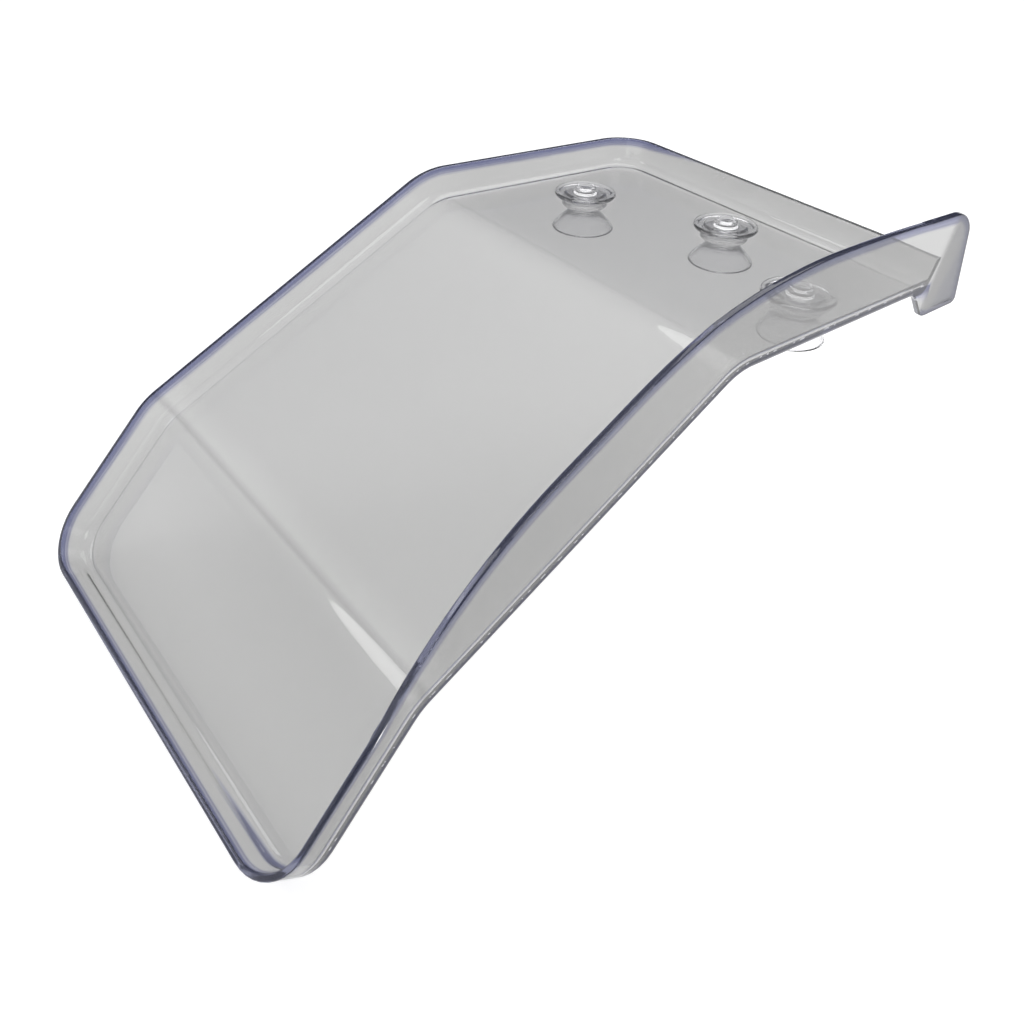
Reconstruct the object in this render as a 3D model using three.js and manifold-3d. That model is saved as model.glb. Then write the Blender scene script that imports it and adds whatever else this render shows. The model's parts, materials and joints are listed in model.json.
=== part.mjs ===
// A clear moulded guard: one thin tray-like sheet in three flats (a level top flat, a long slope and a
// steeper lower slope), with rims on all four sides. The right rim is taller and runs on past the back
// edge as a flat tab with a hook. Three one-piece clear suction cups pass through holes in the top flat.
// Millimetres, +Z up, -Y down the slope, +X towards the tall rim. The origin lies on the plane that the
// cups stick to, midway between the three of them.
import * as THREE from "three";
import { mergeVertices } from "three/addons/utils/BufferGeometryUtils.js";
import Module from "manifold-3d";

const degrees = Math.PI / 180;

// The sheet, measured on its underside.
const sheetThickness = 3;
const topFlatLength = 119.5; // from the back edge to the first fold, both as if sharp
const longSlopeLength = 161.5;
const lowSlopeLength = 80.2;
const longSlopeAngle = 29.8 * degrees;
const lowSlopeAngle = 48.5 * degrees;
const foldRadius = 26;
const halfWidthAtBack = 92.2; // at the foot of the rims
const flare = 0.0595; // how much the left side moves out for each millimetre forward
const rightSideExtra = 3.3; // how much further out the right side stands at the back
const rightFlare = 0.0505;
const cornerRadius = 23; // of the two front corners
const backLeftCornerRadius = 17;
const backRightCornerRadius = 2;

// The rims.
const rimHeight = 16; // from the underside
const rimLean = 6.5 * degrees; // outwards
const innerFilletRadius = 5;
const outerFilletRadius = 4;
const rimEdgeRounding = 0.8;

// The top edge of the tall right rim, as seen from the side and measured from the first fold.
const tallRimHeight = 37.8;
const tallRimBackDrop = 3; // how much lower it ends at the back edge
const tallRimDropLength = 70; // of the curve that drops towards the back edge
const tallRimFirstTurn = { forward: 10.6, radius: 200 };
const tallRimSecondTurn = { forward: 123.9, drop: 27, radius: 190 };
const tallRimEndAngle = 55 * degrees; // how steeply it comes down to the low rim

// The tab at the back of the right rim, as seen from the side, with y measured from the back edge.
const tabThickness = 3.2;
const tabReach = 32.4; // past the back edge
const tabLean = 21; // how much further back its foot stands than its top
const tabTopRadius = 12;
const hookDepth = 13.2; // below the underside
const hookFootRadius = 4;
const hookTipRadius = 3;
const hookFront = -10; // where the hook's sloping front edge starts
const hookSlope = 15; // how much further back it ends
const hookFilletLength = 4;
const tabOverlap = 24; // how far it runs forward inside the rim

// The suction cups. Heights are measured from the plane that they stick to.
const undersideHeight = 14.5; // of the top flat
const cupSpacing = 133; // between the two side cups
const sideCupsForward = 9.5; // of the origin
const middleCupBack = 19;
const holeRadius = 5.6;
const fitGap = 0.3;
const cupRadius = 14.8;
const bellRadius = 15.2;
const collarRadius = 11;
const waistRadius = holeRadius - fitGap;
const bossRadius = 5.2;
const bossHeight = 2.3; // above the head's lip
const headThickness = 2;

// Where the sheet lies from the origin.
const backEdge = 46;
const firstFold = backEdge - topFlatLength;
const sheetCentre = -5;

const plasticOf = (colour, roughness) =>
  new THREE.MeshStandardMaterial({ color: colour, roughness, metalness: 0, transparent: true, opacity: 0.45 });
const sheetPlastic = plasticOf(0xc4c7ce, 0.08);
const cupPlastic = plasticOf(0xd3d4da, 0.18);

const wasm = await Module();
wasm.setup();

function solidOf(geometry) {
  const bare = geometry.index ? geometry.toNonIndexed() : geometry.clone();
  bare.deleteAttribute("normal");
  bare.deleteAttribute("uv");
  const merged = mergeVertices(bare, 1e-4);
  return new wasm.Manifold(
    new wasm.Mesh({
      numProp: 3,
      vertProperties: merged.attributes.position.array,
      triVerts: new Uint32Array(merged.index.array),
    }),
  );
}

function geometryOf(solid) {
  const mesh = solid.getMesh();
  const geometry = new THREE.BufferGeometry();
  geometry.setAttribute("position", new THREE.BufferAttribute(mesh.vertProperties, 3));
  geometry.setIndex(new THREE.BufferAttribute(mesh.triVerts, 1));
  return geometry;
}

function meshOf(name, geometry, material) {
  const mesh = new THREE.Mesh(geometry, material);
  mesh.name = name;
  return mesh;
}

// The sheet's bent path along its underside: flats and arcs, each with its length and the turn in it.
const firstTangent = foldRadius * Math.tan(longSlopeAngle / 2);
const secondTurn = lowSlopeAngle - longSlopeAngle;
const secondTangent = foldRadius * Math.tan(secondTurn / 2);
const path = [
  { length: topFlatLength - firstTangent, turn: 0 },
  { length: foldRadius * longSlopeAngle, turn: longSlopeAngle },
  { length: longSlopeLength - firstTangent - secondTangent, turn: 0 },
  { length: foldRadius * secondTurn, turn: secondTurn },
  { length: lowSlopeLength - secondTangent, turn: 0 },
];
const pathLength = path.reduce((sum, part) => sum + part.length, 0);
const stationOf = (count) => path.slice(0, count).reduce((sum, part) => sum + part.length, 0);

// The point of the underside at a distance along the path, with the sheet's slope there. y is measured
// back from the first fold and z up from the top flat's underside.
function onPath(distance) {
  let [y, z, angle, left] = [topFlatLength, 0, 0, distance];
  for (const [index, part] of path.entries()) {
    const last = index === path.length - 1;
    const step = last ? left : Math.min(left, part.length);
    const turned = part.turn * (step / part.length);
    if (part.turn) {
      y -= foldRadius * (Math.sin(angle + turned) - Math.sin(angle));
      z -= foldRadius * (Math.cos(angle) - Math.cos(angle + turned));
    } else {
      y -= step * Math.cos(angle);
      z -= step * Math.sin(angle);
    }
    angle += turned;
    left -= step;
    if (left <= 0) break;
  }
  return { y, z, angle };
}

// A point of the flat blank, across and along it and up from its underside, bent to its place. The sides
// move outwards whole, and the floor between them stretches.
function bent(across, along, up) {
  const { y, z, angle } = onPath(along);
  const outwards = across < 0 ? -flare * along : rightSideExtra + rightFlare * along;
  const share = Math.min(Math.abs(across) / (halfWidthAtBack - cornerRadius), 1);
  return new THREE.Vector3(across + share * outwards, y - up * Math.sin(angle), z + up * Math.cos(angle));
}

// Where two straight edges meet in a rounded turn, the height of the edge over a place y: the first edge
// falls at slope before, the second at slope after.
function roundedTurn(y, corner, before, after, radius) {
  const turn = Math.atan(after) - Math.atan(before);
  const tangent = radius * Math.tan(turn / 2);
  const start = { y: corner.y + tangent * Math.cos(Math.atan(before)), slope: Math.atan(before) };
  const end = corner.y - tangent * Math.cos(Math.atan(after));
  if (y >= start.y) return corner.z + (y - corner.y) * before;
  if (y <= end) return corner.z + (y - corner.y) * after;
  const centreY = start.y + radius * Math.sin(start.slope);
  const startZ = corner.z + (start.y - corner.y) * before;
  const centreZ = startZ - radius * Math.cos(start.slope);
  return centreZ + Math.sqrt(radius ** 2 - (y - centreY) ** 2);
}

// The tall rim's top edge over a place y.
function tallRimTop(y) {
  const first = { y: -tallRimFirstTurn.forward, z: tallRimHeight };
  const second = { y: -tallRimSecondTurn.forward, z: -tallRimSecondTurn.drop };
  const middleSlope = (first.z - second.z) / (first.y - second.y);
  const dropped = Math.max(y - topFlatLength + tallRimDropLength, 0) / tallRimDropLength;
  if (y > (first.y + second.y) / 2)
    return roundedTurn(y, first, 0, middleSlope, tallRimFirstTurn.radius) - tallRimBackDrop * dropped ** 2;
  return roundedTurn(y, second, middleSlope, Math.tan(tallRimEndAngle), tallRimSecondTurn.radius);
}

// The tall rim's height above the underside, square to the sheet, at a distance along the path.
function tallRimHeightAt(along) {
  const foot = onPath(along);
  let [low, high] = [rimHeight, 1.5 * tallRimHeight];
  for (let pass = 0; pass < 30; pass++) {
    const middle = (low + high) / 2;
    const y = foot.y - middle * Math.sin(foot.angle);
    const z = foot.z + middle * Math.cos(foot.angle);
    if (z < tallRimTop(y)) low = middle;
    else high = middle;
  }
  return (low + high) / 2;
}

// A rim's section as rings, from the top edge down to the flat floor. inset is measured inwards from the
// foot of the rim's outer face. Both faces have the same number of rings.
const rimWidth = sheetThickness / Math.cos(rimLean);
const filletSteps = 4;
const outerFace = (up) => -up * Math.tan(rimLean);
const innerFace = (up) => rimWidth + outerFace(up);

function fillet(radius, floorUp, faceAtFoot, step) {
  const centreUp = floorUp + radius;
  const centreInset = faceAtFoot + (radius - centreUp * Math.sin(rimLean)) / Math.cos(rimLean);
  const angle = rimLean + (Math.PI / 2 - rimLean) * (step / filletSteps);
  return { inset: centreInset - radius * Math.cos(angle), up: centreUp - radius * Math.sin(angle) };
}

function innerRings(height) {
  const shoulder = height - rimEdgeRounding;
  const rings = [
    { inset: outerFace(height) + rimEdgeRounding, up: height },
    { inset: innerFace(height) - rimEdgeRounding, up: height },
    { inset: innerFace(shoulder), up: shoulder },
  ];
  for (let step = 0; step <= filletSteps; step++)
    rings.push(fillet(innerFilletRadius, sheetThickness, rimWidth, step));
  rings.push({ inset: cornerRadius, up: sheetThickness });
  return rings;
}

function outerRings(height) {
  const shoulder = height - rimEdgeRounding;
  const start = fillet(outerFilletRadius, 0, 0, 0).up;
  const rings = [1, 0.6, 0.25].map((part) => {
    const up = start + (shoulder - start) * part;
    return { inset: outerFace(up), up };
  });
  for (let step = 0; step <= filletSteps; step++) rings.push(fillet(outerFilletRadius, 0, 0, step));
  rings.push({ inset: cornerRadius, up: 0 });
  return rings;
}
const ringCount = innerRings(rimHeight).length - 1;

// Distances along the path where the sheet has a row of points: closer at the folds and where the tall
// rim's edge turns.
function rowStations() {
  const [foldStart, foldEnd, secondStart, secondEnd] = [1, 2, 3, 4].map(stationOf);
  const spread = (from, to, steps) =>
    Array.from({ length: steps }, (_, step) => from + ((to - from) * step) / steps);
  const turnStart = foldStart - 40;
  const turnEnd = foldEnd + 36;
  const steepStart = secondStart - 34;
  return [
    ...spread(cornerRadius, turnStart, 2),
    ...spread(turnStart, foldStart, 5),
    ...spread(foldStart, foldEnd, 6),
    ...spread(foldEnd, turnEnd, 4),
    ...spread(turnEnd, steepStart, 2),
    ...spread(steepStart, secondStart, 5),
    ...spread(secondStart, secondEnd, 5),
    ...spread(secondEnd, pathLength - cornerRadius, 2),
    pathLength - cornerRadius,
  ];
}

// The tray: a box with a fine grid on its two large faces. Its outer squares become the rims, one inside
// the other, and the middle stays a flat floor.
function trayGeometry() {
  const rows = rowStations();
  const columns = 2;
  const across = columns + 2 * ringCount;
  const along = rows.length - 1 + 2 * ringCount;
  const box = new THREE.BoxGeometry(1, 1, 1, across, along, 1);
  const points = box.attributes.position;
  const heightsOnRight = rows.map(tallRimHeightAt);

  for (let point = 0; point < points.count; point++) {
    const i = Math.round((points.getX(point) + 0.5) * across);
    const j = Math.round((0.5 - points.getY(point)) * along);
    const inside = points.getZ(point) > 0;
    const [fromSide, fromEnd] = [Math.min(i, across - i), Math.min(j, along - j)];
    const ring = Math.min(fromSide, fromEnd, ringCount);
    const right = i > across / 2;
    const front = j > along / 2;
    const halfRound = ringCount - ring || 1;
    const towardsRow = Math.min((fromEnd - ring) / halfRound, 1);
    const row = Math.min(Math.max(j - ringCount, 0), rows.length - 1);

    let height = rimHeight;
    if (right && fromSide <= fromEnd && fromSide < ringCount) {
      height = heightsOnRight[row];
      if (!front) height = rimHeight + (height - rimHeight) * towardsRow;
    }
    const rings = inside ? innerRings(height) : outerRings(height);
    const { inset, up } = rings[ring];

    const backRadius = right ? backRightCornerRadius : backLeftCornerRadius;
    const radius = front ? cornerRadius : backRadius;
    const centre = Math.max(radius, inset);
    const arm = centre - inset;
    let [x, s] = [0, 0];
    if (fromSide >= ringCount) {
      const part = (i - ringCount) / columns;
      x = (2 * part - 1) * (halfWidthAtBack - cornerRadius);
      s = fromEnd >= ringCount ? rows[row] : front ? pathLength - inset : inset;
    } else if (fromEnd >= ringCount) {
      x = (halfWidthAtBack - inset) * (right ? 1 : -1);
      s = rows[row];
    } else {
      const bySide = fromSide <= fromEnd;
      const part = bySide ? (fromEnd - ring) / halfRound : (fromSide - ring) / halfRound;
      const angle = bySide ? 45 * degrees * (1 - part) : 45 * degrees * (1 + part);
      const stretch = (cornerRadius - centre) * part;
      const sideInset = centre - arm * Math.cos(angle) + (bySide ? 0 : stretch);
      const endInset = centre - arm * Math.sin(angle) + (bySide ? stretch : 0);
      x = (halfWidthAtBack - sideInset) * (right ? 1 : -1);
      s = front ? pathLength - endInset : endInset;
    }
    const place = bent(x, s, up);
    points.setXYZ(point, place.x, place.y, place.z);
  }
  return box;
}

// The tab and its hook: an outline in the rim's own plane, with y back from the back edge and z up from
// the underside.
function tabOutline() {
  const top = tallRimTop(topFlatLength);
  const [back, foot] = [tabReach - tabLean, tabReach];
  const leanOver = (up) => (tabLean * up) / (top + hookDepth);
  const hookTip = hookFront + hookSlope;
  const outline = new THREE.Shape();
  outline.moveTo(-tabOverlap, outerFilletRadius);
  outline.lineTo(hookFront - hookFilletLength, outerFilletRadius);
  outline.quadraticCurveTo(hookFront - 1, 2, hookFront + hookFilletLength, -hookFilletLength / 2);
  outline.lineTo(hookTip - hookTipRadius, hookTipRadius - hookDepth);
  outline.quadraticCurveTo(hookTip, -hookDepth, hookTip + hookTipRadius, -hookDepth);
  outline.lineTo(foot - hookFootRadius, -hookDepth);
  outline.quadraticCurveTo(foot, -hookDepth, foot - leanOver(hookFootRadius), hookFootRadius - hookDepth);
  outline.lineTo(back + leanOver(tabTopRadius), top - tabTopRadius);
  outline.quadraticCurveTo(back, top, back - tabTopRadius, top);
  outline.lineTo(-tabOverlap, tallRimTop(topFlatLength - tabOverlap));
  return outline;
}

// The outline as a plate, leaning and flaring with the right rim. Its faces stand a hair proud of the
// rim's own.
function tabGeometry() {
  const plate = new THREE.ExtrudeGeometry(tabOutline(), {
    depth: tabThickness,
    bevelEnabled: false,
    curveSegments: 8,
  });
  const points = plate.attributes.position;
  const proud = (tabThickness - sheetThickness) / 2;
  for (let point = 0; point < points.count; point++) {
    const [back, up, depth] = [points.getX(point), points.getY(point), points.getZ(point)];
    const face = halfWidthAtBack + rightSideExtra - rightFlare * back - outerFace(up);
    points.setXYZ(point, face + proud - tabThickness + depth, topFlatLength + back, up);
  }
  return plate;
}

// Where each cup's axis stands, from the origin.
const cupPlaces = {
  left: [-cupSpacing / 2, -sideCupsForward],
  middle: [0, middleCupBack],
  right: [cupSpacing / 2, -sideCupsForward],
};

function holeGeometry([x, y]) {
  const hole = new THREE.CylinderGeometry(holeRadius, holeRadius, 4 * sheetThickness, 40);
  hole.rotateX(Math.PI / 2);
  hole.translate(x - sheetCentre, y - firstFold, 0);
  return hole;
}

function shellMesh() {
  let solid = solidOf(trayGeometry()).add(solidOf(tabGeometry()));
  for (const place of Object.values(cupPlaces)) solid = solid.subtract(solidOf(holeGeometry(place)));
  const shell = meshOf("guard_shell", geometryOf(solid), sheetPlastic);
  shell.position.set(sheetCentre, firstFold, undersideHeight);
  return shell;
}

// A cup turned from its section: bell, collar under the sheet, waist in the hole, and a round head with a
// thick lip, a step and a central boss with a dimple.
function cupGeometry() {
  const collarTop = undersideHeight - fitGap;
  const collarFoot = collarTop - 3.2;
  const headFoot = undersideHeight + sheetThickness + fitGap;
  const lip = headFoot + headThickness;
  const section = [
    [0, 7.6], [3.5, 7.3], [7.2, 5.9], [10.6, 3.5], [13, 1.1], [13.7, 0], // inside the bell
    [bellRadius - 0.2, 0], [bellRadius, 0.5], [bellRadius - 0.9, 1.6], // its rim
    [12, 4.2], [9, 7.2], [7, 9.4], [6.6, collarFoot - 0.5], // outside the bell
    [7.1, collarFoot], [collarRadius - 0.6, collarFoot], [collarRadius, collarFoot + 0.6], // collar
    [collarRadius, collarTop - 0.5], [collarRadius - 0.5, collarTop],
    [waistRadius, collarTop], [waistRadius, headFoot], // waist in the hole
    [cupRadius - 0.8, headFoot], [cupRadius, headFoot + 0.7], // head
    [cupRadius, lip - 0.4], [cupRadius - 0.5, lip], [cupRadius - 1.3, lip],
    [cupRadius - 1.9, lip - 0.8], [10.2, lip - 0.9], [9.5, lip - 0.3],
    [bossRadius + 1.2, lip - 0.2], [bossRadius, lip + 0.4],
    [bossRadius, lip + bossHeight - 0.5], [bossRadius - 0.5, lip + bossHeight], // boss
    [3.7, lip + bossHeight], [3.3, lip + bossHeight - 0.6], [2.6, lip + bossHeight - 1.9],
    [0, lip + bossHeight - 2.1], // dimple
  ];
  const turned = new THREE.LatheGeometry(section.map(([radius, up]) => new THREE.Vector2(radius, up)), 36);
  return turned.rotateX(Math.PI / 2);
}

function cupMesh(side) {
  const cup = meshOf(`${side}_suction_cup`, geometryOf(solidOf(cupGeometry())), cupPlastic);
  const [x, y] = cupPlaces[side];
  cup.position.set(x, y, 0);
  return cup;
}

const guard = new THREE.Group();
guard.add(shellMesh());
for (const side of Object.keys(cupPlaces)) guard.add(cupMesh(side));

export default guard;
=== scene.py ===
import json
import math

import bmesh
import bpy
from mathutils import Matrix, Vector


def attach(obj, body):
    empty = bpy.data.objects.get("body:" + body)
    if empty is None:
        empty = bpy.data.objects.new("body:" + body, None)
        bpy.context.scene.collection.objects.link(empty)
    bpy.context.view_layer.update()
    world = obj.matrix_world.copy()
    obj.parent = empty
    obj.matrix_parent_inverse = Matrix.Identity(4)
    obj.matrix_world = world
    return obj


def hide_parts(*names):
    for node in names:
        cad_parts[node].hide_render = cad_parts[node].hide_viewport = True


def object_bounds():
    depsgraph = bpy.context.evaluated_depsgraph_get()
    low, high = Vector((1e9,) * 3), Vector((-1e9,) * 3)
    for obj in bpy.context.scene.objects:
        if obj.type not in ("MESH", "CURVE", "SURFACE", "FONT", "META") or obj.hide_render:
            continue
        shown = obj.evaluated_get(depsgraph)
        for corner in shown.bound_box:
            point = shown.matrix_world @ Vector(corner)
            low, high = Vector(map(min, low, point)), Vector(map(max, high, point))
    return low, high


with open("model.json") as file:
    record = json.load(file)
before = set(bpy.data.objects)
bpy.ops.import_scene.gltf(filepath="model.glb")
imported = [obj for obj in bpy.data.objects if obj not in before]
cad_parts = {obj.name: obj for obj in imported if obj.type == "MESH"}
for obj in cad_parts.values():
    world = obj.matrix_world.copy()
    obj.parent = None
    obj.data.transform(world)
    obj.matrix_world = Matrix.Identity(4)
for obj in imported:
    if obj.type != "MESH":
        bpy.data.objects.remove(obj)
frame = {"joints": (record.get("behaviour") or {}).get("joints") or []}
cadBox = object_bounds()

mm = 0.001
tiny = 0.004 * mm


def pickPiece(piece):
    bpy.ops.object.select_all(action="DESELECT")
    piece.select_set(True)
    bpy.context.view_layer.objects.active = piece


def start(piece):  # one object picked, in edit mode
    pickPiece(piece)
    bpy.ops.object.mode_set(mode="EDIT")


def done():
    bpy.ops.object.mode_set(mode="OBJECT")


def pick(kind, wanted):  # selects the vertices, edges or faces that pass the test
    bpy.ops.mesh.select_mode(type={"verts": "VERT", "edges": "EDGE", "faces": "FACE"}[kind])
    bpy.ops.mesh.select_all(action="DESELECT")
    data = bpy.context.edit_object.data
    mesh = bmesh.from_edit_mesh(data)
    for part in getattr(mesh, kind):
        if wanted(part):
            part.select_set(True)
    mesh.select_flush_mode()
    bmesh.update_edit_mesh(data)


def pickAll():
    bpy.ops.mesh.select_mode(type="VERT")
    bpy.ops.mesh.select_all(action="SELECT")


def move(x, y, z):
    bpy.ops.transform.translate(value=(x, y, z))


def turn(axis, angle, centre):  # with no window the operator turns the other way
    bpy.ops.transform.rotate(value=-angle, orient_axis=axis, orient_type="GLOBAL", center_override=centre)


def roundEdges(radius, turned, segments):  # turned is the angle between the two faces' normals
    bpy.ops.mesh.bevel(offset=radius * math.tan(turned / 2), segments=segments, profile=0.5,
                       affect="EDGES", clamp_overlap=False)


def apply(piece, kind, **settings):  # adds a modifier and applies it
    pickPiece(piece)
    modifier = piece.modifiers.new(kind.lower(), kind)
    for name, value in settings.items():
        setattr(modifier, name, value)
    bpy.ops.object.modifier_apply(modifier=modifier.name)


def rename(piece, name):
    piece.name = name
    piece.data.name = name
    return piece


view = {
    "place": (0.2978, -0.3356, 0.1898),
    "turned": (52.98, -2.34, 53.18),  # degrees
    "lens": 35.56,
    "sensor": 36,
}


def makeCamera():
    turned = [math.radians(angle) for angle in view["turned"]]
    bpy.ops.object.camera_add(location=view["place"], rotation=turned)
    camera = bpy.context.object
    camera.data.lens = view["lens"]
    camera.data.sensor_width = view["sensor"]
    camera.data.clip_start = 0.01
    bpy.context.scene.camera = camera


makeCamera()
print("camera placed")


shell = {
    "sheet": 3 * mm,
    "topFlat": 119.5 * mm,
    "longSlope": 161.5 * mm,
    "lowSlope": 80.2 * mm,
    "longAngle": math.radians(29.8),
    "lowAngle": math.radians(48.5),
    "foldRadius": 26 * mm,
    "foldSteps": 12,
    "halfWidth": {-1: 92.2 * mm, 1: 95.5 * mm},  # at the back, left and right
    "flare": {-1: 0.0595, 1: 0.0505},
    "frontCorner": 23 * mm,
    "backLeftCorner": 17 * mm,
    "rim": 16 * mm,
    "lean": math.radians(6.5),
    "innerFillet": 5 * mm,
    "outerFillet": 4 * mm,
    "edgeRound": 0.8 * mm,
    "centre": -5 * mm,
    "backEdge": 46 * mm,
    "underside": 14.5 * mm,
    "hole": 5.6 * mm,
    "holeSides": 72,
    "cutterDepth": 12 * mm,
    "cornerSteps": 10,
    "filletSteps": 6,
    "edgeSteps": 3,
    "sharp": math.radians(40),  # an edge that turns more than this is rounded
    "smoothUnder": 32,  # degrees
    "pastBackCorner": 4 * mm,  # first and last rows, clear of the corners
    "beforeFrontCorner": 6 * mm,
}

tallRim = {  # its top edge seen from the side, measured from the first fold
    "height": 37.8 * mm,
    "backDrop": 3 * mm,
    "dropLength": 70 * mm,
    "firstTurn": (-10.6 * mm, 200 * mm),
    "secondTurn": (-123.9 * mm, -27 * mm, 191 * mm),
    "endAngle": math.radians(55),
    "rowSpacing": 7 * mm,
    "halvings": 30,  # of the search for its height
    "least": 0.05 * mm,  # it starts where it stands this far over the low rim
    "spare": 2 * mm,  # it is first raised by this too much
}


def pathParts():  # flats and arcs of the bent sheet: length and turn
    s = shell
    first = s["foldRadius"] * math.tan(s["longAngle"] / 2)
    turned = s["lowAngle"] - s["longAngle"]
    second = s["foldRadius"] * math.tan(turned / 2)
    return [
        (s["topFlat"] - first, 0),
        (s["foldRadius"] * s["longAngle"], s["longAngle"]),
        (s["longSlope"] - first - second, 0),
        (s["foldRadius"] * turned, turned),
        (s["lowSlope"] - second, 0),
    ]


def onPath(distance):  # place and slope of the underside, y from the first fold
    y, z, angle, left = shell["topFlat"], 0, 0, distance
    radius = shell["foldRadius"]
    for length, bend in pathParts():
        step = min(left, length)
        turned = bend * step / length
        if bend:
            y -= radius * (math.sin(angle + turned) - math.sin(angle))
            z -= radius * (math.cos(angle) - math.cos(angle + turned))
        else:
            y -= step * math.cos(angle)
            z -= step * math.sin(angle)
        angle += turned
        left -= step
        if left <= 0:
            break
    return y, z, angle


def roundedTurn(y, corner, before, after, radius):  # a straight edge, an arc and another straight edge
    tangent = radius * math.tan((math.atan(after) - math.atan(before)) / 2)
    startY = corner[0] + tangent * math.cos(math.atan(before))
    endY = corner[0] - tangent * math.cos(math.atan(after))
    if y >= startY:
        return corner[1] + (y - corner[0]) * before
    if y <= endY:
        return corner[1] + (y - corner[0]) * after
    centreY = startY + radius * math.sin(math.atan(before))
    centreZ = corner[1] + (startY - corner[0]) * before - radius * math.cos(math.atan(before))
    return centreZ + math.sqrt(radius ** 2 - (y - centreY) ** 2)


def tallRimTop(y):
    t = tallRim
    first = (t["firstTurn"][0], t["height"])
    second = t["secondTurn"][:2]
    middle = (first[1] - second[1]) / (first[0] - second[0])
    dropped = max(y - shell["topFlat"] + t["dropLength"], 0) / t["dropLength"]
    if y > (first[0] + second[0]) / 2:
        return roundedTurn(y, first, 0, middle, t["firstTurn"][1]) - t["backDrop"] * dropped ** 2
    return roundedTurn(y, second, middle, math.tan(t["endAngle"]), t["secondTurn"][2])


def tallRimHeight(distance):  # square to the sheet
    y, z, angle = onPath(distance)
    low, high = shell["rim"], 1.5 * tallRim["height"]
    for _ in range(tallRim["halvings"]):
        middle = (low + high) / 2
        if z + middle * math.cos(angle) < tallRimTop(y - middle * math.sin(angle)):
            low = middle
        else:
            high = middle
    return (low + high) / 2


def shellStations():  # distances from the back edge where the blank gets a row
    lengths = [length for length, _ in pathParts()]
    foldStarts = (lengths[0], sum(lengths[:3]))
    foldEnds = (sum(lengths[:2]), sum(lengths[:4]))
    rows = []
    for begin, end in zip(foldStarts, foldEnds):
        steps = shell["foldSteps"]
        rows += [begin + (end - begin) * step / steps for step in range(steps + 1)]
    firstRow = shell["backLeftCorner"] + shell["pastBackCorner"]
    lastRow = sum(lengths) - shell["frontCorner"] - shell["beforeFrontCorner"]
    spans = ((firstRow, foldStarts[0]), (foldEnds[0], foldStarts[1]), (foldEnds[1], lastRow))
    for begin, end in spans:
        steps = round((end - begin) / tallRim["rowSpacing"])
        rows += [begin + (end - begin) * step / steps for step in range(steps + 1)]
    return sorted(set(round(row, 7) for row in rows))


def trayBlank():  # the tray before it is bent: y runs back, z up from the underside
    s = shell
    length = sum(part for part, _ in pathParts())
    out = s["rim"] * math.tan(s["lean"])
    bpy.ops.mesh.primitive_plane_add(size=1, location=(0, 0, s["rim"]))
    bpy.ops.object.transform_apply()
    tray = bpy.context.object
    start(tray)
    for side in (-1, 1):
        for end, reach in ((1, out), (-1, -length - out)):
            half = s["halfWidth"][side] + out * math.hypot(1, s["flare"][side]) - s["flare"][side] * reach
            pick("verts", lambda v: v.co.x * side > 0 and v.co.y * end > 0 and abs(abs(v.co.x) - 0.5) < tiny)
            move(side * (half - 0.5), reach - end * 0.5, 0)
    for chosen, radius in ((lambda v: v.co.y < 0, s["frontCorner"] + out),
                           (lambda v: v.co.y > 0 and v.co.x < 0, s["backLeftCorner"] + out)):
        pick("verts", chosen)
        bpy.ops.mesh.bevel(offset=radius, segments=s["cornerSteps"], affect="VERTICES", clamp_overlap=False)

    # outer wall and underside from a copy, rim top and inner wall from the first face
    bpy.ops.mesh.select_mode(type="FACE")
    bpy.ops.mesh.select_all(action="SELECT")
    bpy.ops.mesh.duplicate()
    bpy.ops.mesh.inset(thickness=out, depth=-s["rim"])
    pick("faces", lambda f: f.calc_center_median().z > s["rim"] - tiny)
    bpy.ops.mesh.inset(thickness=s["sheet"] / math.cos(s["lean"]))
    deep = s["rim"] - s["sheet"]
    bpy.ops.mesh.inset(thickness=deep * math.tan(s["lean"]), depth=-deep)
    pickAll()
    bpy.ops.mesh.remove_doubles(threshold=tiny)
    bpy.ops.mesh.normals_make_consistent(inside=False)
    done()
    return rename(tray, "guard_shell_moulding")


def onRightRim(y, z, inset=0):  # x of the right rim's outer face, or of a plane inset from it
    return shell["halfWidth"][1] - shell["flare"][1] * y + z * math.tan(shell["lean"]) - inset


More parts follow.
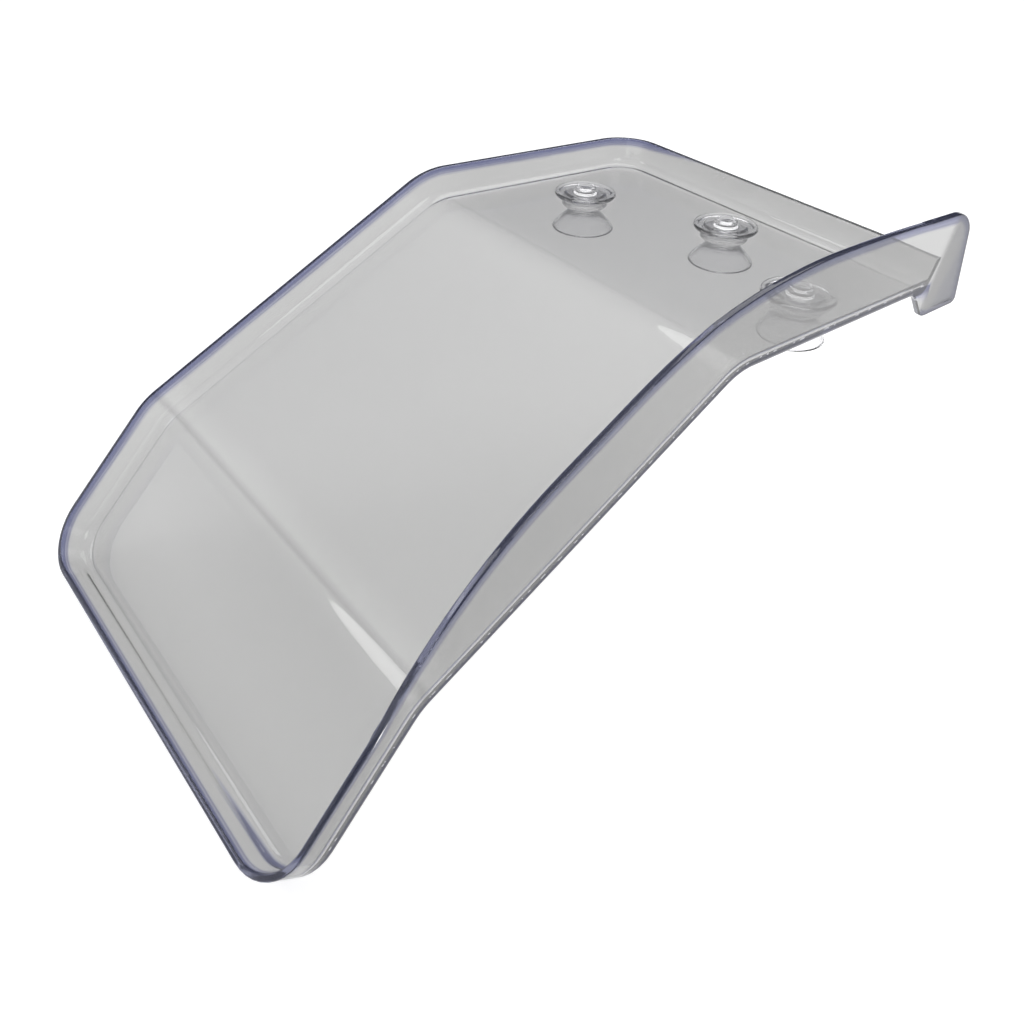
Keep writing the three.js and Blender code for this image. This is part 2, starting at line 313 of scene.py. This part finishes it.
def raiseRightRim(tray):
    s = shell
    rows = shellStations()
    rising = [row for row in rows if tallRimHeight(row) > s["rim"] + tallRim["least"]]
    lastRow = rows[rows.index(rising[-1]) + 1]
    start(tray)
    wall = s["sheet"] / math.cos(s["lean"])
    pick("faces", lambda f: f.calc_center_median().z > s["rim"] - tiny
         and f.calc_center_median().y > -s["sheet"])
    bpy.ops.mesh.bisect(plane_co=(onRightRim(0, s["rim"], wall), 0, s["rim"]),
                        plane_no=(1, s["flare"][1], -math.tan(s["lean"])))
    pickAll()
    for row in rows:
        bpy.ops.mesh.select_all(action="SELECT")
        bpy.ops.mesh.bisect(plane_co=(0, -row, 0), plane_no=(0, 1, 0))
    tallest = max(tallRimHeight(row) for row in rows) + tallRim["spare"]
    rise = tallest - s["rim"]

    def onTop(face):
        middle = face.calc_center_median()
        return (middle.z > s["rim"] - tiny and middle.y > -lastRow
                and middle.x > onRightRim(middle.y, s["rim"], wall) - tiny)

    pick("faces", onTop)
    bpy.ops.mesh.extrude_region_move(
        TRANSFORM_OT_translate={"value": (rise * math.tan(s["lean"]), 0, rise)})
    for row in [0] + rows[:rows.index(lastRow) + 1]:
        drop = tallRimHeight(row) - tallest if row < lastRow else -rise
        if row:
            pick("verts", lambda v: v.co.z > tallest - tiny and abs(v.co.y + row) < tiny)
        else:
            pick("verts", lambda v: v.co.z > tallest - tiny and v.co.y > -rows[0] + tiny)
        move(drop * math.tan(s["lean"]), 0, drop)
    pickAll()
    bpy.ops.mesh.remove_doubles(threshold=tiny)
    done()


def roundShellEdges(tray):
    s = shell
    start(tray)
    turned = math.pi / 2 - s["lean"]

    def foldsAt(edge, height):
        return (all(abs(v.co.z - height) < tiny for v in edge.verts)
                and len(edge.link_faces) == 2 and edge.calc_face_angle() > s["sharp"])

    pick("edges", lambda e: foldsAt(e, s["sheet"]))
    roundEdges(s["innerFillet"], turned, s["filletSteps"])
    pick("edges", lambda e: foldsAt(e, 0))
    roundEdges(s["outerFillet"], turned, s["filletSteps"])
    pick("edges", lambda e: min(v.co.z for v in e.verts) > s["rim"] - 0.1 * mm
         and len(e.link_faces) == 2 and e.calc_face_angle() > s["sharp"]
         and (e.verts[0].co - e.verts[1].co).normalized().z < 0.98)  # all but upright edges
    bpy.ops.mesh.bevel(offset=s["edgeRound"], segments=s["edgeSteps"], affect="EDGES", clamp_overlap=False)
    done()


def bendShell(tray):  # row by row, each row turned half before and half after its own step
    s = shell
    start(tray)
    parts = pathParts()
    station, y, z, angle = 0, 0, 0, 0
    for length, bend in parts:
        steps = s["foldSteps"] if bend else 1
        for step in range(steps + 1):
            if bend:
                share = bend / steps * (0.5 if step in (0, steps) else 1)
                for side in (-1, 1):
                    ahead = Vector((0, -math.cos(angle), -math.sin(angle)))
                    pivot = Vector((0, y, z))
                    pick("verts", lambda v: (v.co - pivot).dot(ahead) > side * tiny)
                    turn("X", share / 2, pivot)
                    angle += share / 2
            if step < steps:
                y -= length / steps * math.cos(angle)
                z -= length / steps * math.sin(angle)
    pickAll()
    move(s["centre"], s["backEdge"], s["underside"])
    done()


tab = {
    "startRadius": 30 * mm,  # of the ring of points that becomes its outline
    "cornerSteps": 8,
    "edgeSteps": 3,
    "sharp": math.radians(60),
    "inset": 0.02 * mm,  # how far its faces lie inside the rim's, where they pass through it
    "edgeRound": 0.7 * mm,
    "band": 3.2 * mm,  # width of the ring inside its outline
    "clear": 2.5 * mm,  # behind the back edge, past the back rim's lean
    "corners": [  # y from the back edge, z from the underside, and rounding
        (-24 * mm, 4.5 * mm, 0),
        (-24 * mm, 36.4 * mm, 0),
        (11.4 * mm, 34.75 * mm, 12 * mm),
        (32.4 * mm, -13.2 * mm, 4 * mm),
        (4.6 * mm, -13.2 * mm, 3.4 * mm),
        (-9 * mm, 1 * mm, 5 * mm),
        (-15 * mm, 4.5 * mm, 0),
    ],
}


def makeTab():
    corners = tab["corners"]
    bpy.ops.mesh.primitive_circle_add(vertices=len(corners), radius=tab["startRadius"], fill_type="NGON")
    plate = bpy.context.object
    start(plate)
    for index, (y, z, _) in enumerate(corners):
        pick("verts", lambda v: v.index == index)
        now = bmesh.from_edit_mesh(plate.data).verts[:][index].co.copy()
        move(-now.x, y - now.y, z / math.cos(shell["lean"]) - now.z)
    for y, z, radius in corners:
        if radius:
            place = Vector((0, y, z / math.cos(shell["lean"])))
            pick("verts", lambda v: (v.co - place).length < tiny)
            bpy.ops.mesh.bevel(offset=radius, segments=tab["cornerSteps"], affect="VERTICES",
                               clamp_overlap=False)
    outline = [(v.co.y, v.co.z) for v in bmesh.from_edit_mesh(plate.data).faces[:][0].verts]
    pickAll()
    thickness = shell["sheet"] - 2 * tab["inset"]
    bpy.ops.mesh.extrude_region_move(TRANSFORM_OT_translate={"value": (-thickness, 0, 0)})
    pickAll()
    bpy.ops.mesh.normals_make_consistent(inside=False)
    pick("faces", lambda f: abs(f.normal.x) > 0.9)
    bpy.ops.mesh.inset(thickness=tab["band"])
    pick("edges", lambda e: len(e.link_faces) == 2 and e.calc_face_angle() > tab["sharp"]
         and abs(e.verts[0].co.x - e.verts[1].co.x) < tiny)
    bpy.ops.mesh.bevel(offset=tab["edgeRound"], segments=tab["edgeSteps"], affect="EDGES",
                       clamp_overlap=False)
    pickAll()
    turn("Y", shell["lean"], (0, 0, 0))
    turn("Z", math.atan(shell["flare"][1]), (0, 0, 0))
    move(shell["centre"] + onRightRim(0, 0, tab["inset"]), shell["backEdge"], shell["underside"])
    done()
    return rename(plate, "tab_plate"), outline


def cutHoles(tray):
    for x, y in cupPlaces:
        bpy.ops.mesh.primitive_cylinder_add(vertices=shell["holeSides"], radius=shell["hole"],
                                            depth=shell["cutterDepth"], location=(x, y, shell["underside"]))
        bpy.ops.object.transform_apply()
        cutter = bpy.context.object
        apply(tray, "BOOLEAN", object=cutter, operation="DIFFERENCE", solver="EXACT")
        bpy.data.objects.remove(cutter)


def smooth(piece, degrees):
    pickPiece(piece)
    bpy.ops.object.shade_smooth_by_angle(angle=math.radians(degrees))
    apply(piece, "WEIGHTED_NORMAL", keep_sharp=True, weight=80)


def makeShell():
    tray = trayBlank()
    raiseRightRim(tray)
    roundShellEdges(tray)
    bendShell(tray)
    plate, outline = makeTab()
    apply(tray, "BOOLEAN", object=plate, operation="UNION", solver="EXACT")
    bpy.data.objects.remove(plate)
    cutHoles(tray)
    smooth(tray, shell["smoothUnder"])
    return tray, outline


cupPlaces = [tuple(joint["pos_m"][:2]) for joint in frame["joints"]]
guardShell, tabOutline = makeShell()
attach(guardShell, "guard")
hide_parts("guard_shell")
print("guard shell:", len(guardShell.data.polygons), "faces")


cup = {
    "around": 72,
    "startRadius": 50 * mm,  # of the ring of points that becomes its section
    "roundSteps": 4,
    "smoothUnder": 50,  # degrees
    "section": [  # radius, height over the plane they stick to, and rounding
        (0, 7.6, 0), (3.5, 7.3, 1.2), (7.4, 5.9, 1.5), (10.8, 3.5, 1.5), (13.7, 0, 0.3),
        (15.2, 0, 0.35), (14.2, 1.8, 0.6), (11.6, 4.6, 1.4), (7.6, 8.2, 1.6), (6.6, 11, 0.8),
        (11, 11, 0.9), (11, 14.2, 0.6), (5.3, 14.2, 0.25), (5.3, 17.8, 0.3),
        (14.8, 17.8, 0.9), (14.8, 19.8, 0.75), (12.9, 19.8, 0.6), (12.3, 18.9, 0.5),
        (10.2, 18.9, 0.4), (9.5, 19.6, 0.35), (6.1, 19.6, 0.9), (5.2, 20.3, 0.4),
        (5.2, 22.1, 0.5), (3.7, 22.1, 0.4), (2.9, 20.3, 0.5), (0, 20, 0),
    ],
}


def makeCup():
    section = [(radius * mm, height * mm, rounding * mm) for radius, height, rounding in cup["section"]]
    bpy.ops.mesh.primitive_circle_add(vertices=len(section), radius=cup["startRadius"])
    turned = bpy.context.object
    start(turned)
    for index, (radius, height, _) in enumerate(section):
        pick("verts", lambda v: v.index == index)
        now = bmesh.from_edit_mesh(turned.data).verts[:][index].co.copy()
        move(radius - now.x, -now.y, height - now.z)
    pick("edges", lambda e: max(v.co.x for v in e.verts) < tiny)
    bpy.ops.mesh.delete(type="EDGE")
    for radius, height, rounding in section:
        if rounding:
            place = Vector((radius, 0, height))
            pick("verts", lambda v: (v.co - place).length < tiny)
            bpy.ops.mesh.bevel(offset=rounding, segments=cup["roundSteps"], affect="VERTICES",
                               clamp_overlap=False)
    pickAll()
    bpy.ops.mesh.spin(steps=cup["around"], angle=math.tau, center=(0, 0, 0), axis=(0, 0, 1))
    pickAll()
    bpy.ops.mesh.remove_doubles(threshold=tiny)
    bpy.ops.mesh.normals_make_consistent(inside=False)
    done()
    smooth(turned, cup["smoothUnder"])
    return turned


cupPieces = {}
firstCup = makeCup()
for joint in frame["joints"]:
    side = joint["child"].split("_")[0]
    pickPiece(firstCup)
    bpy.ops.object.duplicate()
    piece = rename(bpy.context.object, side + "_cup_moulding")
    start(piece)
    pickAll()
    move(joint["pos_m"][0], joint["pos_m"][1], 0)
    done()
    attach(piece, joint["child"])
    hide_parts(side + "_suction_cup")
    cupPieces[side] = piece
bpy.data.objects.remove(firstCup)
print("suction cups:", len(cupPieces))


class Wire:  # a shader socket that can be used in sums
    def __init__(self, nodes, socket):
        self.nodes = nodes
        self.socket = socket

    def work(self, operation, first, second):
        return self.nodes.add("ShaderNodeMath", {"operation": operation}, {0: first, 1: second})

    def __add__(self, other):
        return self.work("ADD", self, other)

    def __radd__(self, other):
        return self.work("ADD", other, self)

    def __sub__(self, other):
        return self.work("SUBTRACT", self, other)

    def __rsub__(self, other):
        return self.work("SUBTRACT", other, self)

    def __mul__(self, other):
        return self.work("MULTIPLY", self, other)

    def __rmul__(self, other):
        return self.work("MULTIPLY", other, self)

    def __gt__(self, other):
        return self.work("GREATER_THAN", self, other)

    def __lt__(self, other):
        return self.work("LESS_THAN", self, other)


class Nodes:  # a material's node tree
    def __init__(self, material):
        self.tree = material.node_tree
        self.tree.nodes.clear()

    def add(self, kind, settings=None, values=None, output=0):
        node = self.tree.nodes.new(kind)
        for name, setting in (settings or {}).items():
            if name == "stops":
                ramp = node.color_ramp.elements
                while len(ramp) < len(setting):
                    ramp.new(1)  # every stop gets its place below
                for element, (position, colour) in zip(ramp, setting):
                    element.position = position
                    element.color = colour
            else:
                setattr(node, name, setting)
        for name, value in (values or {}).items():
            socket = node.inputs[name]
            if kind == "ShaderNodeMix":  # its sockets share their names, so the enabled one is taken
                socket = next(s for s in node.inputs if s.name == name and s.enabled)
            if isinstance(value, Wire):
                self.tree.links.new(value.socket, socket)
            else:
                socket.default_value = value
        return Wire(self, node.outputs[output]) if len(node.outputs) else None


def makeMaterial(name):
    material = bpy.data.materials.new(name)
    material.use_nodes = True
    return material, Nodes(material)


clearSheet = {
    "greyAndPaintedLight": [  # distance along the sheet and grey, from the back edge to the low edge: the sheet's grey tint with painted light, its tone changed from slope to slope as painted reflection, much darker on the tab as painted shade, and a painted dark crease with a painted highlight beside it at the low fold
        (-0.032, 0.24), (-0.003, 0.3), (0, 0.61), (0.1, 0.6), (0.128, 0.64), (0.2, 0.625),
        (0.262, 0.63), (0.274, 0.68), (0.2775, 0.55), (0.279, 0.65), (0.29, 0.63), (0.37, 0.58),
    ],
    "cast": (1, 1, 0.985),
    "rimTintAndPaintedShade": [  # depth under the rim's top edge and tint: the plastic's bluish edge tint, with painted shade bands and lighter painted lines along the rims
        (0, (0.24, 0.26, 0.48)), (0.0008, (0.22, 0.24, 0.45)), (0.0015, (0.34, 0.36, 0.58)),
        (0.0024, (0.52, 0.54, 0.74)), (0.003, (0.3, 0.31, 0.5)), (0.0035, (0.66, 0.67, 0.8)),
        (0.0045, (1, 1, 1)),
    ],
    "footPaintedShade": [  # distance from the band's middle and tint: a painted dark line, painted shade where the tall rim's foot turns under
        (0, (0.05, 0.06, 0.2)), (0.0014, (0.07, 0.08, 0.24)), (0.002, (0.5, 0.52, 0.75)),
        (0.003, (1, 1, 1)),
    ],
    "streaks": {"along": 25, "across": 1400, "rim": 0.0016, "foot": 0.001},  # spacing and reach
    "lowRimShare": 1.1,  # the low rims' band is narrower by this
    "thinFrom": 0.27,  # along the tall rim, its band thins from here
    "thinning": 22,
    "footBandAngle": math.radians(20),  # the foot band's middle, round the foot from the wall
    "elsewhere": 10 * mm,  # the distance given to points away from the foot band
    "peel": {"scale": 230, "from": 0.27, "full": 0.3, "strength": 0.03, "depth": 0.0005},
    "transmission": 0.84,
    "ior": 1.5,
    "roughness": 0.02,
    # dust specks, and white dashes along the tall rim's foot that are painted highlights, both mixed in as a
    # rough white surface
    "dustAndPaintedGlint": {
        "colour": (0.92, 0.93, 0.95, 1), "roughness": 0.45,
        "dashSpacing": 260, "dashShare": 0.57, "dashLine": (0.0021, 0.0027), "dashStrength": 0.5,
        "speckScale": 55, "speckSize": 0.018, "speckStrength": 0.5,
    },
}

clearCup = {
    "tint": (0.96, 0.96, 0.97, 1),
    "transmission": 0.99,
    "ior": 1.27,
    "roughness": 0.09,
    "haze": 0.06,
    "hazeScale": 400,
}


def bandTint(nodes, distance, stops):  # a tint that follows a distance, as a ramp
    nearest, furthest = stops[0][0], stops[-1][0]
    ramp = [((place - nearest) / (furthest - nearest), tuple(tint) + (1,)) for place, tint in stops]
    share = (distance - nearest) * (1 / (furthest - nearest))
    return nodes.add("ShaderNodeValToRGB", {"stops": ramp}, {"Fac": share})


def timesTint(nodes, first, second):
    return nodes.add("ShaderNodeMix", {"data_type": "RGBA", "blend_type": "MULTIPLY"},
                     {"Factor": 1, "A": first, "B": second}, 2)


def makeClearSheet():
    material, nodes = makeMaterial("clearSheet")
    place = nodes.add("ShaderNodeTexCoord", output="Object")
    along, edge, foot = [nodes.add("ShaderNodeAttribute", {"attribute_name": name}, output=2)
                         for name in ("along", "edgeDepth", "footDepth")]
    streaks = clearSheet["streaks"]
    streakPlace = nodes.add("ShaderNodeCombineXYZ", None,
                            {"X": along * streaks["along"], "Y": edge * streaks["across"]})
    streak = nodes.add("ShaderNodeTexNoise", None, {"Vector": streakPlace, "Scale": 1, "Detail": 3}) - 0.5
    cast = clearSheet["cast"]
    # the sheet's grey, with painted reflection tones by slope, painted shade on the tab and a painted crease
    # line and highlight at the low fold
    body = bandTint(nodes, along, [(distance, [grey * part for part in cast])
                                   for distance, grey in clearSheet["greyAndPaintedLight"]])
    # painted shade bands and painted light lines under the rims' tops and round the tab's outline, over the
    # plastic's bluish edge tint
    rim = bandTint(nodes, edge + streak * streaks["rim"], clearSheet["rimTintAndPaintedShade"])
    # a painted dark line of shade where the tall rim's foot turns under
    paintedFootShade = bandTint(nodes, foot + streak * streaks["foot"], clearSheet["footPaintedShade"])
    tint = timesTint(nodes, timesTint(nodes, body, rim), paintedFootShade)
    peel = clearSheet["peel"]
    ripple = nodes.add("ShaderNodeTexNoise", None, {"Vector": place, "Scale": peel["scale"], "Detail": 2})
    lowPart = nodes.add("ShaderNodeMapRange", None,
                        {"Value": along, "From Min": peel["from"], "From Max": peel["full"]})
    bump = nodes.add("ShaderNodeBump", None, {
        "Height": ripple * lowPart, "Strength": peel["strength"], "Distance": peel["depth"]})
    clear = nodes.add("ShaderNodeBsdfPrincipled", None, {
        "Base Color": tint, "Roughness": clearSheet["roughness"], "IOR": clearSheet["ior"],
        "Transmission Weight": clearSheet["transmission"], "Normal": bump})
    dustAndPaintedGlint = clearSheet["dustAndPaintedGlint"]
    # the dashes are painted highlights along the tall rim's foot; the specks are dust
    dashPlace = nodes.add("ShaderNodeCombineXYZ", None, {"X": along * dustAndPaintedGlint["dashSpacing"]})
    dashes = nodes.add("ShaderNodeTexNoise", None, {"Vector": dashPlace, "Scale": 1, "Detail": 1})
    nearFoot, farFoot = dustAndPaintedGlint["dashLine"]
    dash = (foot > nearFoot) * (foot < farFoot) * (dashes > dustAndPaintedGlint["dashShare"])
    specks = nodes.add("ShaderNodeTexVoronoi", {"feature": "F1"},
                       {"Vector": place, "Scale": dustAndPaintedGlint["speckScale"]})
    speck = specks < dustAndPaintedGlint["speckSize"]
    dustAndGlintSurface = nodes.add("ShaderNodeBsdfPrincipled", None, {
        "Base Color": dustAndPaintedGlint["colour"], "Roughness": dustAndPaintedGlint["roughness"]})
    surface = nodes.add("ShaderNodeMixShader", None, {
        0: dash * dustAndPaintedGlint["dashStrength"] + speck * dustAndPaintedGlint["speckStrength"], 1: clear, 2: dustAndGlintSurface})
    nodes.add("ShaderNodeOutputMaterial", None, {"Surface": surface})
    return material


def makeClearCup():
    material, nodes = makeMaterial("clearCup")
    place = nodes.add("ShaderNodeTexCoord", output="Object")
    haze = nodes.add("ShaderNodeTexNoise", None,
                     {"Vector": place, "Scale": clearCup["hazeScale"], "Detail": 2})
    surface = nodes.add("ShaderNodeBsdfPrincipled", None, {
        "Base Color": clearCup["tint"], "Roughness": clearCup["roughness"] + haze * clearCup["haze"],
        "IOR": clearCup["ior"], "Transmission Weight": clearCup["transmission"]})
    nodes.add("ShaderNodeOutputMaterial", None, {"Surface": surface})
    return material


def unbent(place):  # a point's distance along the sheet and height above its underside
    y = place.y - shell["backEdge"] + shell["topFlat"]
    z = place.z - shell["underside"]
    station, (y0, z0, angle) = 0, onPath(0)
    for length, bend in pathParts():
        ahead = (y0 - y) * math.cos(angle) + (z0 - z) * math.sin(angle)
        up = (z - z0) * math.cos(angle) - (y - y0) * math.sin(angle)
        if bend:
            ahead = math.atan2(ahead, shell["foldRadius"] + up) * shell["foldRadius"]
        if ahead <= length or station + length > 0.999 * sum(part for part, _ in pathParts()):
            if bend:
                centreY = y0 + shell["foldRadius"] * math.sin(angle)
                centreZ = z0 - shell["foldRadius"] * math.cos(angle)
                up = math.hypot(y - centreY, z - centreZ) - shell["foldRadius"]
            return station + ahead, up
        station += length
        y0, z0, angle = onPath(station)
    return station, up


def tabDepth(place):  # distance of a point on the tab from its outline
    y, z = place.y - shell["backEdge"], (place.z - shell["underside"]) / math.cos(shell["lean"])
    nearest = 1
    for (y0, z0), (y1, z1) in zip(tabOutline, tabOutline[1:] + tabOutline[:1]):
        along = Vector((y1 - y0, z1 - z0))
        share = max(0, min(1, Vector((y - y0, z - z0)).dot(along) / along.length_squared))
        nearest = min(nearest, (Vector((y - y0, z - z0)) - along * share).length)
    return nearest


def footDistance(x, along, up):  # from the painted dark line of shade low on the tall rim's outside
    radius, corner = shell["outerFillet"], shell["frontCorner"]
    sideways = shell["halfWidth"][1] + shell["flare"][1] * along - x
    forward = sum(length for length, _ in pathParts()) - along
    inset = sideways  # inwards from the foot's outer line, round the front corner too
    if sideways < corner and forward < corner:
        inset = corner - math.hypot(corner - sideways, corner - forward)
    bandMiddle = clearSheet["footBandAngle"] * radius
    if up > radius:
        outside = inset + (up - radius) * math.tan(shell["lean"]) < shell["edgeRound"] + 0.2 * mm
        return up - radius + bandMiddle if outside else clearSheet["elsewhere"]
    if inset > radius or math.hypot(radius - inset, radius - up) < radius - 0.75 * shell["edgeRound"]:
        return clearSheet["elsewhere"]
    return abs(math.atan2(radius - up, radius - inset) * radius - bandMiddle)


def markEdges(piece):  # what the tints and the painted light and shade follow: along the sheet, from the rims' tops and from their feet
    names = ("along", "edgeDepth", "footDepth")
    marks = [piece.data.attributes.new(name, "FLOAT", "POINT") for name in names]
    for index, vertex in enumerate(piece.data.vertices):
        along, up = unbent(vertex.co)
        x = vertex.co.x - shell["centre"]
        right = x > shell["halfWidth"][1] + shell["flare"][1] * along - shell["outerFillet"]
        if x > 0 and along < -tab["clear"]:
            # the tab's outline gets the rims' painted edge shade
            edge = tabDepth(vertex.co) * clearSheet["rimTintAndPaintedShade"][-1][0] / tab["band"]
        elif right:
            narrowed = 1 + max(along - clearSheet["thinFrom"], 0) * clearSheet["thinning"]
            edge = (max(tallRimHeight(along), shell["rim"]) - up) * narrowed
        else:
            edge = (shell["rim"] - up) * clearSheet["lowRimShare"]
        for mark, value in zip(marks, (along, max(edge, 0), footDistance(x, along, up))):
            mark.data[index].value = value


markEdges(guardShell)
guardShell.data.materials.clear()
guardShell.data.materials.append(makeClearSheet())
cupMaterial = makeClearCup()
for piece in cupPieces.values():
    piece.data.materials.clear()
    piece.data.materials.append(cupMaterial)
print("materials made")


studio = {
    "floorSize": 30,
    "floorColour": (0.5, 0.5, 0.5, 1),
    "floorRoughness": 0.8,
    "floorGrain": 0.1,
    "floorGrainScale": 40,
    "floorGap": 0.2 * mm,  # under the guard's lowest point
    "floorGlow": 0.8,  # a light table
    "sky": [  # height of a direction, and light: a pale backdrop, dim walls and a soft ceiling
        (0, (0.85, 0.85, 0.86, 1)), (0.13, (0.8, 0.8, 0.82, 1)), (0.22, (0.05, 0.055, 0.08, 1)),
        (0.42, (0.1, 0.105, 0.13, 1)), (0.78, (0.5, 0.5, 0.52, 1)),
    ],
    "lights": {  # place, size and power
        "high_soft_box": ((-0.3, 0.5, 1.3), 1.3, 8),
        "side_soft_box": ((1.2, -0.3, 0.9), 0.8, 4),
        "fold_soft_box": ((-0.5, -0.85, 0.5), 0.36, 0.9),
    },
}


def makeFloor():
    height = cadBox[0][2] - studio["floorGap"]
    bpy.ops.mesh.primitive_plane_add(size=studio["floorSize"], location=(0, 0, height))
    floor = rename(bpy.context.object, "floor")
    material, nodes = makeMaterial("paleFloor")
    place = nodes.add("ShaderNodeTexCoord", output="Object")
    grain = nodes.add("ShaderNodeTexNoise", None,
                      {"Vector": place, "Scale": studio["floorGrainScale"], "Detail": 3})
    surface = nodes.add("ShaderNodeBsdfPrincipled", None, {
        "Base Color": studio["floorColour"],
        "Roughness": studio["floorRoughness"] + grain * studio["floorGrain"],
        "Emission Color": (1, 1, 1, 1), "Emission Strength": studio["floorGlow"]})
    nodes.add("ShaderNodeOutputMaterial", None, {"Surface": surface})
    floor.data.materials.append(material)


def makeLights():
    for name, (place, size, power) in studio["lights"].items():
        aim = (-Vector(place)).to_track_quat("-Z", "Y").to_euler()
        bpy.ops.object.light_add(type="AREA", location=place, rotation=aim)
        light = bpy.context.object
        light.name = name
        light.data.shape = "DISK"
        light.data.size = size
        light.data.energy = power
    world = bpy.data.worlds.new("studio")
    world.use_nodes = True
    bpy.context.scene.world = world
    nodes = Nodes(world)
    direction = nodes.add("ShaderNodeTexCoord", output="Generated")
    height = nodes.add("ShaderNodeSeparateXYZ", None, {"Vector": direction}, 2)
    sky = nodes.add("ShaderNodeValToRGB", {"stops": studio["sky"]}, {"Fac": height})
    light = nodes.add("ShaderNodeBackground", None, {"Color": sky, "Strength": 1})
    nodes.add("ShaderNodeOutputWorld", None, {"Surface": light})
    bpy.context.scene.view_settings.view_transform = "Standard"


makeFloor()
makeLights()
print("floor and lights made")
